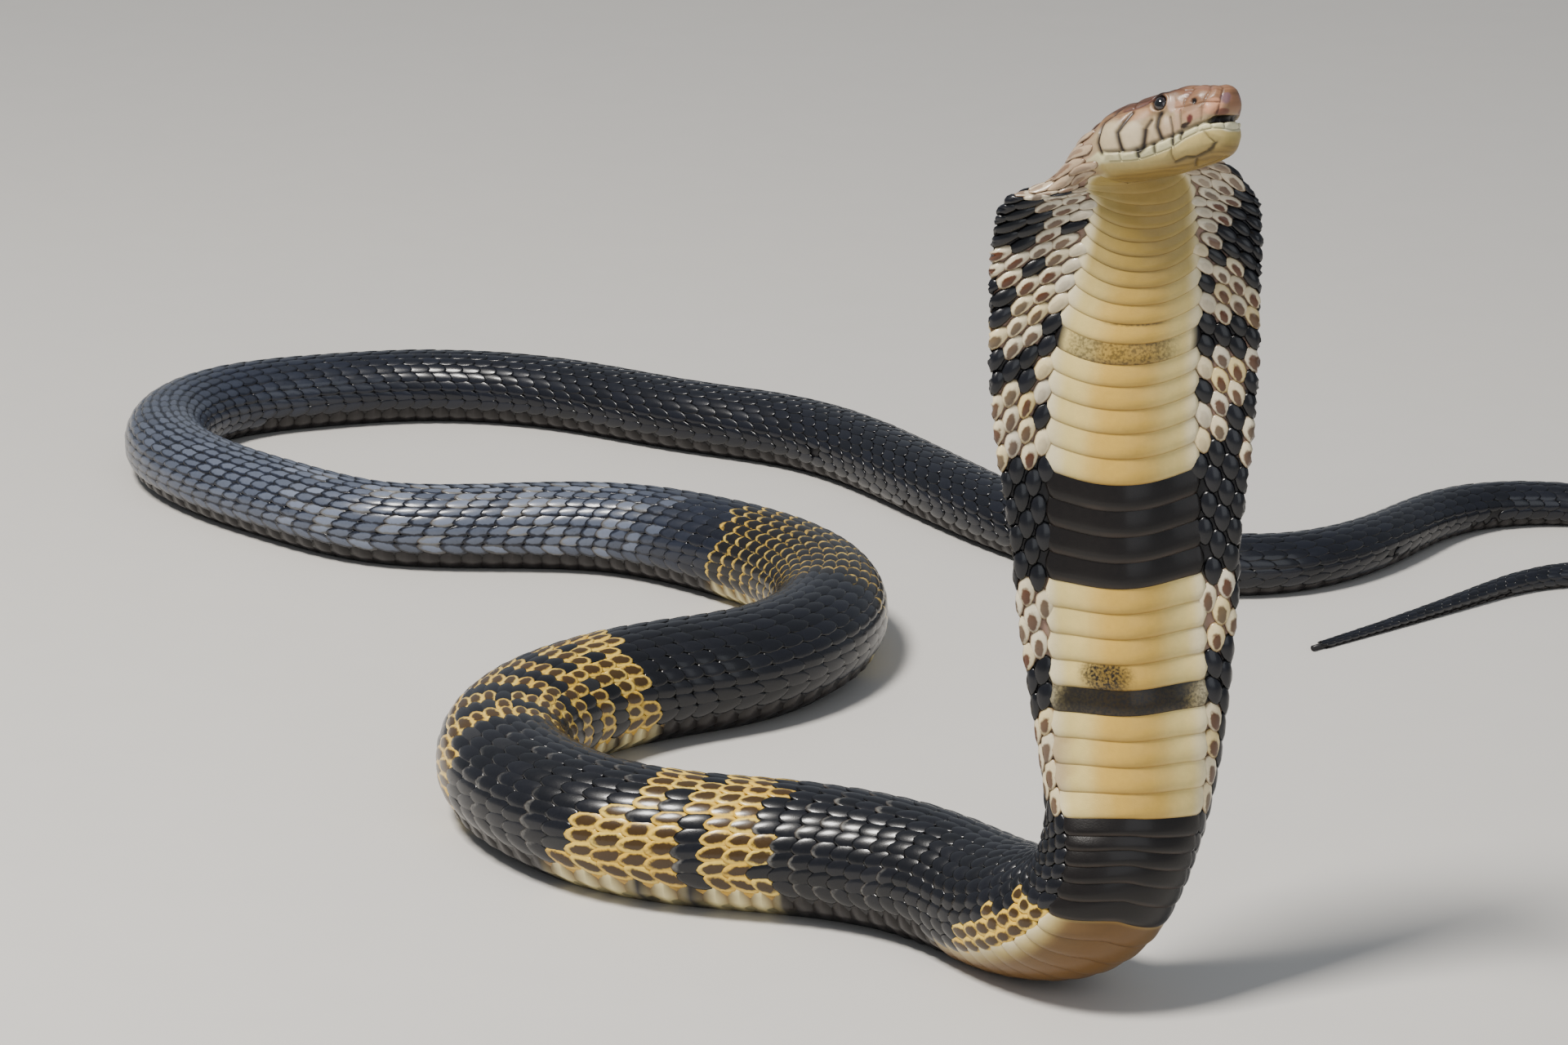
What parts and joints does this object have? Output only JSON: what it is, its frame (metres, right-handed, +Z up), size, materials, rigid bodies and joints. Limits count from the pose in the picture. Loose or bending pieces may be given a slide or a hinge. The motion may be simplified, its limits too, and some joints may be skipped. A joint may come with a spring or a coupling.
{
  "type": "west_african_banded_cobra",
  "caption": "West African banded cobra, body laid in long bends on the ground, fore body raised with its hood spread; a life-size still display model",
  "frame": {"origin": "middle of the model's footprint, on the floor it lies on", "axes": "Z is up. The belly of the raised part faces -Y, and +X is the snake's own left"},
  "size_m": [0.628, 0.646, 0.2951],
  "materials": {
    "skin_head": "satin scales, warm brown on the crown and pale at the lips",
    "skin_pale": "satin belly scutes, cream to ochre with black bands",
    "skin_dark": "glossy blue-black scales with a few yellow bands",
    "eye": "wet dark eye"
  },
  "bodies": {
    "root": {"head": "skin_head", "eye_left": "eye", "eye_right": "eye", "neck": "skin_pale", "hood_upper": "skin_pale", "hood_lower": "skin_pale", "column": "skin_pale", "heel_upper": "skin_pale", "heel_lower": "skin_pale", "body_1": "skin_dark", "body_2": "skin_dark", "body_3": "skin_dark", "body_4": "skin_dark", "body_5": "skin_dark", "body_6": "skin_dark", "body_7": "skin_dark", "body_8": "skin_dark", "body_9": "skin_dark", "body_10": "skin_dark", "body_11": "skin_dark", "body_12": "skin_dark", "tail_1": "skin_dark", "tail_2": "skin_dark", "tail_3": "skin_dark", "tail_4": "skin_dark"}
  },
  "joints": []
}
